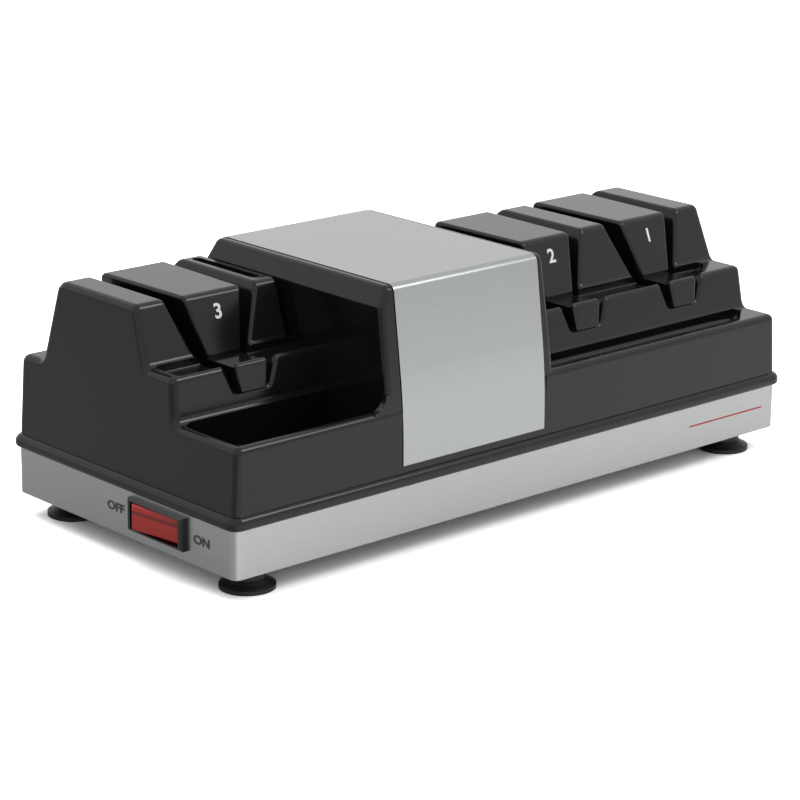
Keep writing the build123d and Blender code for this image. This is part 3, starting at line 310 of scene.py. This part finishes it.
def printed(name, words, height, place, facing, material, slot, stretch=1.0, weight=0.03):
    """Thin raised lettering at a place, facing along a direction, upright."""
    curve = bpy.data.curves.new(name, "FONT")
    curve.body = words
    curve.size = height * body_per_capital
    curve.align_x = "CENTER"
    curve.align_y = "CENTER"
    curve.extrude = print_half_thickness
    curve.offset = height * weight
    curve.materials.append(material)
    text = bpy.data.objects.new(name, curve)
    scene.collection.objects.link(text)
    back = Vector(facing).normalized()
    right = Vector((0, 0, 1)).cross(back).normalized()
    up = back.cross(right)
    turn = Matrix((right, up, back)).transposed().to_4x4()
    widen = Matrix.Diagonal((stretch, 1, 1, 1))
    text.matrix_world = Matrix.Translation(Vector(place) + back * print_gap) @ turn @ widen
    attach(text, "housing")


def on_slope(low, high, share):
    """A point on a line of the front outline and the direction the face looks."""
    (y0, z0), (y1, z1) = low, high
    y, z = y0 + share * (y1 - y0), z0 + share * (z1 - z0)
    return y, z, Vector((0, -(z1 - z0), y1 - y0)).normalized()


def stripe(name, low, high, material):
    """A thin printed stripe: a flat box between two corners."""
    (x0, y0, z0), (x1, y1, z1) = low, high
    mesh = bpy.data.meshes.new(name)
    corners = [(x, y, z) for z in (z0, z1) for x, y in ((x0, y0), (x1, y0), (x1, y1), (x0, y1))]
    sides = [(3, 2, 1, 0), (4, 5, 6, 7), (0, 1, 5, 4), (1, 2, 6, 5), (2, 3, 7, 6), (3, 0, 4, 7)]
    mesh.from_pydata(corners, [], sides)
    mesh.materials.append(material)
    piece = bpy.data.objects.new(name, mesh)
    scene.collection.objects.link(piece)
    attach(piece, "housing")


for words, (x, low, high) in stage_marks.items():
    y, z, facing = on_slope(low, high, stage_mark_share)
    printed(f"stage_mark_{words}", words, stage_mark_height, (x, y, z), facing, print_white,
            "bezel_plastic")
for words, place in switch_marks.items():
    printed(f"switch_mark_{words.lower()}", words, switch_mark_height, place, left_end, print_black,
            "bezel_plastic", *switch_mark_look)
stripe("front_stripe", (0.1032, -0.07468, 0.0213), (0.1529, -0.0746, 0.0220), print_red)


# ---------------------------------------------------------------- floor and background
near_corner = (-0.145, -0.058, 0)       # the base corner nearest the lens
lens_right = (0.740, -0.672, 0)         # along the floor, to the lens's right
floor_seen = (0.95, 0.80)               # two diffuse layers, added: white for the lens
# painted shade: the floor seen in gloss and metal is darker to the left of the machine than in
# front, which darkens the reflections in its left end
floor_mirrored_painted_shade = (0.46, 1.0)            # in gloss and metal: on the left, in front
floor_turn = 0.35                       # half the span over which the one becomes the other
floor_diffuse = 0.45
background_strength = 0.89
background_low = 0.40                   # tone at the dark end of the rise; 1 is the other end
background_rise = (0.10, -0.10, 0.75)   # the way diffuse light grows, mostly upwards
lens_rays = ("Is Camera Ray",)
mirror_rays = ("Is Glossy Ray", "Is Transmission Ray")


def is_ray(tree_nodes, links, kinds):
    """1 for a ray of one of these kinds and 0 for any other."""
    path = add(tree_nodes, "ShaderNodeLightPath")
    total = path.outputs[kinds[0]]
    for kind in kinds[1:]:
        either = add(tree_nodes, "ShaderNodeMath", operation="MAXIMUM")
        links.new(total, either.inputs[0])
        links.new(path.outputs[kind], either.inputs[1])
        total = either.outputs[0]
    return total


def chosen(tree_nodes, links, choice, off, on):
    """Mix two shaders by a 0..1 choice."""
    mix = add(tree_nodes, "ShaderNodeMixShader")
    links.new(choice, mix.inputs[0])
    links.new(off, mix.inputs[1])
    links.new(on, mix.inputs[2])
    return mix.outputs[0]


def diffuse(tree_nodes, tone):
    node = add(tree_nodes, "ShaderNodeBsdfDiffuse")
    node.inputs["Color"].default_value = grey(tone)
    return node


def painted_side_shade(tree_nodes, links):
    """The mirrored floor's painted shade: its tone rises from the left of the near corner to its
    right.
    """
    coords = add(tree_nodes, "ShaderNodeTexCoord")
    offset = add(tree_nodes, "ShaderNodeVectorMath", operation="SUBTRACT")
    offset.inputs[1].default_value = near_corner
    links.new(coords.outputs["Object"], offset.inputs[0])
    unit = add(tree_nodes, "ShaderNodeVectorMath", operation="NORMALIZE")
    links.new(offset.outputs[0], unit.inputs[0])
    rightwards = add(tree_nodes, "ShaderNodeVectorMath", operation="DOT_PRODUCT")
    rightwards.inputs[1].default_value = lens_right
    links.new(unit.outputs[0], rightwards.inputs[0])
    ramp = add(tree_nodes, "ShaderNodeMapRange", interpolation_type="SMOOTHSTEP")
    ramp.inputs["From Min"].default_value = -floor_turn
    ramp.inputs["From Max"].default_value = floor_turn
    ramp.inputs["To Min"].default_value, ramp.inputs["To Max"].default_value = floor_mirrored_painted_shade
    links.new(rightwards.outputs["Value"], ramp.inputs["Value"])
    return ramp.outputs[0]


def floor_material():
    """White for the lens, for metal and for gloss, with shadows; in gloss and metal a painted
    shade makes it a little less pale to the left of the machine than in front of it. Diffuse light
    meets a greyer floor."""
    mat, tree_nodes, links = new_material("floor_white")
    out = add(tree_nodes, "ShaderNodeOutputMaterial")
    seen = add(tree_nodes, "ShaderNodeAddShader")
    for layer, tone in enumerate(floor_seen):
        links.new(diffuse(tree_nodes, tone).outputs[0], seen.inputs[layer])
    # painted shade for the floor as gloss and metal see it
    mirrored = add(tree_nodes, "ShaderNodeBsdfDiffuse")
    links.new(painted_side_shade(tree_nodes, links), mirrored.inputs["Color"])
    unseen = chosen(tree_nodes, links, is_ray(tree_nodes, links, mirror_rays),
                    diffuse(tree_nodes, floor_diffuse).outputs[0], mirrored.outputs[0])
    surface = chosen(tree_nodes, links, is_ray(tree_nodes, links, lens_rays),
                     unseen, seen.outputs[0])
    links.new(surface, out.inputs[0])
    return mat


def fill_world(tree_nodes, links):
    """White for the lens, for metal and for gloss; brighter above than below for diffuse light."""
    out = add(tree_nodes, "ShaderNodeOutputWorld")
    seen = add(tree_nodes, "ShaderNodeBackground")
    seen.inputs["Color"].default_value = grey(1)
    lit = add(tree_nodes, "ShaderNodeBackground")
    lit.inputs["Strength"].default_value = background_strength
    coords = add(tree_nodes, "ShaderNodeTexCoord")
    gradient = add(tree_nodes, "ShaderNodeVectorMath", operation="DOT_PRODUCT")
    gradient.inputs[1].default_value = background_rise
    links.new(coords.outputs["Generated"], gradient.inputs[0])
    scale = add(tree_nodes, "ShaderNodeMapRange")
    scale.inputs["From Min"].default_value = -1.0
    scale.inputs["From Max"].default_value = 1.0
    links.new(gradient.outputs["Value"], scale.inputs["Value"])
    ramp = add(tree_nodes, "ShaderNodeValToRGB")
    for element, position, tone in zip(ramp.color_ramp.elements, (0.0, 1.0), (background_low, 1.0)):
        element.position = position
        element.color = grey(tone)
    links.new(scale.outputs[0], ramp.inputs[0])
    links.new(ramp.outputs[0], lit.inputs["Color"])
    light = chosen(tree_nodes, links, is_ray(tree_nodes, links, lens_rays + mirror_rays),
                   lit.outputs[0], seen.outputs[0])
    links.new(light, out.inputs[0])


bpy.ops.mesh.primitive_plane_add(size=30, location=(0, 0, 0))
floor = bpy.context.object
floor.name = "floor"
floor.data.materials.append(floor_material())

world = bpy.data.worlds.new("studio")
scene.world = world
world.use_nodes = True
world.node_tree.nodes.clear()
fill_world(world.node_tree.nodes, world.node_tree.links)


# ---------------------------------------------------------------- lamps
def look_along(thing, direction):
    """Turn a lamp or camera so that it looks along a direction, upright."""
    thing.rotation_mode = "QUATERNION"
    thing.rotation_quaternion = direction.to_track_quat("-Z", "Y")


def softbox(name, place, aim, width, height, power):
    lamp = bpy.data.lights.new(name, "AREA")
    lamp.shape = "RECTANGLE"
    lamp.size = width
    lamp.size_y = height
    lamp.energy = power
    holder = bpy.data.objects.new(name, lamp)
    scene.collection.objects.link(holder)
    holder.location = place
    look_along(holder, Vector(aim) - Vector(place))
    return holder


overhead = softbox("overhead", (-0.30, 0.30, 1.25), (0, 0, 0.05), 1.4, 1.0, 10.0)
overhead.visible_glossy = False
softbox("front_right", (0.75, -0.95, 1.35), (0.2, -0.2, 0), 0.7, 0.7, 8.0)

# ---------------------------------------------------------------- camera
camera_yaw, camera_pitch, camera_roll = (math.radians(v) for v in (-42.27, 16.777, 0.654))
camera_distance = 1.27819
camera_target = Vector((-0.00738, 0.0, 0.03872))
level = math.cos(camera_pitch)
back = Vector((math.sin(camera_yaw) * level, -math.cos(camera_yaw) * level, math.sin(camera_pitch)))

camera_data = bpy.data.cameras.new("camera")
camera_data.sensor_width = 36
camera_data.lens = 128.49
camera_data.clip_start = 0.05
camera_data.clip_end = 40
camera = bpy.data.objects.new("camera", camera_data)
scene.collection.objects.link(camera)
camera.location = camera_target + back * camera_distance
look_along(camera, -back)
roll_turn = Matrix.Rotation(camera_roll, 3, "Z").to_quaternion()
camera.rotation_quaternion = camera.rotation_quaternion @ roll_turn
scene.camera = camera

scene.view_settings.view_transform = "Standard"
